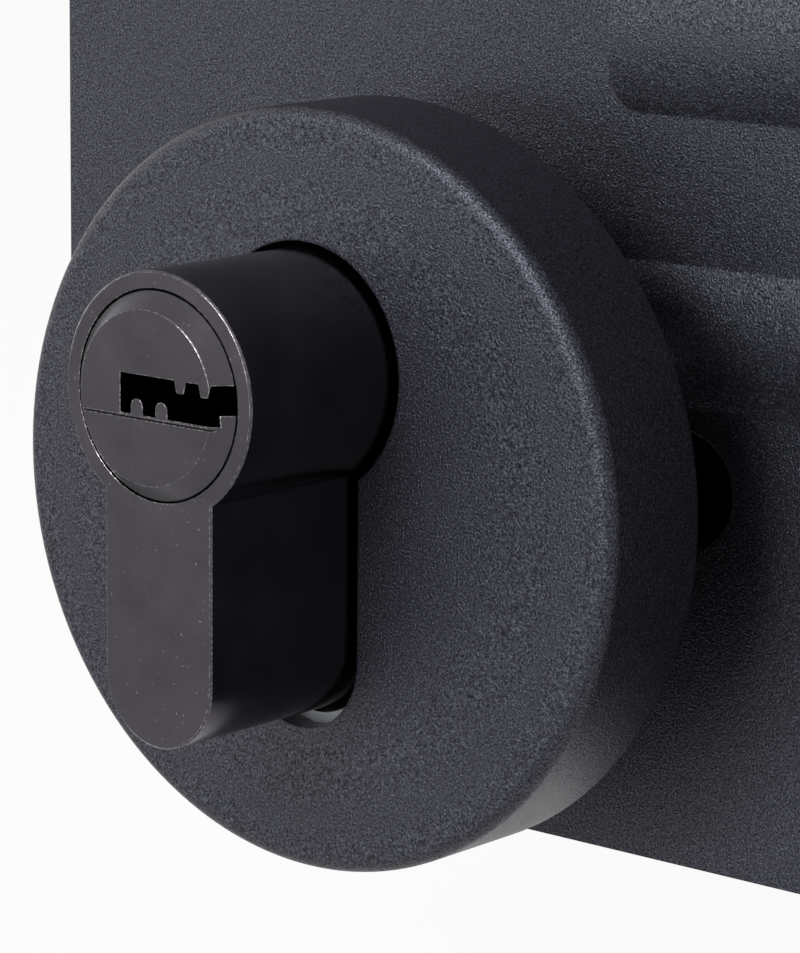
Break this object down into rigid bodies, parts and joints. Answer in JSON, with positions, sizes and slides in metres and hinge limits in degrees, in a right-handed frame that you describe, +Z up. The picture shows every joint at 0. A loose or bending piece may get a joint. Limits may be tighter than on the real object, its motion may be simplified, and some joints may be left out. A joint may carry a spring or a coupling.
{
  "type": "mortise deadbolt",
  "caption": "Mortise deadbolt: a flat black case with a geared bolt behind its forend, a keyed profile cylinder through both sides, and round roses.",
  "frame": {"origin": "on the cylinder's axis, midway between the two sides of the case", "axes": "+X to the forend at the door's edge, +Y from outside into the door along the cylinder's axis, +Z up"},
  "size_m": [0.0965, 0.0874, 0.15],
  "materials": {
    "black_powder_coat": "fine-texture matt black powder coat",
    "black_nickel": "satin black nickel plate",
    "zinc_plate": "bright zinc plate",
    "brass": "turned brass",
    "spring_steel": "spring steel",
    "steel": "machined steel",
    "black_oxide": "black oxide"
  },
  "bodies": {
    "lock": {"case_body": "black_powder_coat", "case_cover": "black_powder_coat", "case_posts": "zinc_plate", "cover_screws": "black_oxide", "forend": "black_powder_coat", "forend_screws": "black_oxide", "guide_posts": "steel", "gear_axle": "steel", "cylinder_body": "black_nickel", "driver_pins": "brass", "pin_springs": "spring_steel", "chamber_plugs": "brass", "cylinder_screw": "black_oxide", "outer_rose_cover": "black_powder_coat", "inner_rose_cover": "black_powder_coat", "outer_rose_base": "zinc_plate", "inner_rose_base": "zinc_plate", "rose_posts": "zinc_plate", "rose_bolts": "zinc_plate", "bow_spring": "spring_steel"},
    "outer_plug": {"outer_plug": "black_nickel", "outer_plug_clip": "spring_steel", "outer_key_pins": "brass"},
    "inner_plug": {"inner_plug": "black_nickel", "inner_plug_clip": "spring_steel", "inner_key_pins": "brass"},
    "cam": {"cog_cam": "steel"},
    "coupling": {"coupling_bar": "steel"},
    "gear": {"drive_gear": "steel"},
    "bolt": {"bolt_head": "steel", "bolt_hardened_pins": "steel", "bolt_carriage": "zinc_plate", "bolt_rivets": "steel"}
  },
  "joints": [
    {"name": "bolt_throw", "type": "slide", "parent": "lock", "child": "bolt", "axis": [1, 0, 0], "range_m": [0, 0.02199]},
    {"name": "gear_turn", "type": "hinge", "parent": "lock", "child": "gear", "pos_m": [0, 0, 0.021], "axis": [0, 1, 0], "range_deg": [-180, 0]},
    {"name": "cam_turn", "type": "hinge", "parent": "lock", "child": "cam", "pos_m": [0, 0, 0], "axis": [0, 1, 0], "range_deg": [0, 360]},
    {"name": "outer_key_turn", "type": "hinge", "parent": "lock", "child": "outer_plug", "pos_m": [0, 0, 0], "axis": [0, 1, 0], "range_deg": [0, 360]},
    {"name": "inner_key_turn", "type": "hinge", "parent": "lock", "child": "inner_plug", "pos_m": [0, 0, 0], "axis": [0, 1, 0], "range_deg": [0, 360]},
    {"name": "coupling_shift", "type": "slide", "parent": "cam", "child": "coupling", "axis": [0, 1, 0], "range_m": [0, 0.0019]}
  ],
  "couplings": [
    {"joint": "gear_turn", "follows": "bolt_throw", "rad_per_m": -142.86},
    {"joint": "cam_turn", "follows": "bolt_throw", "rad_per_m": 285.71},
    {"joint": "outer_key_turn", "follows": "bolt_throw", "rad_per_m": 285.71}
  ]
}
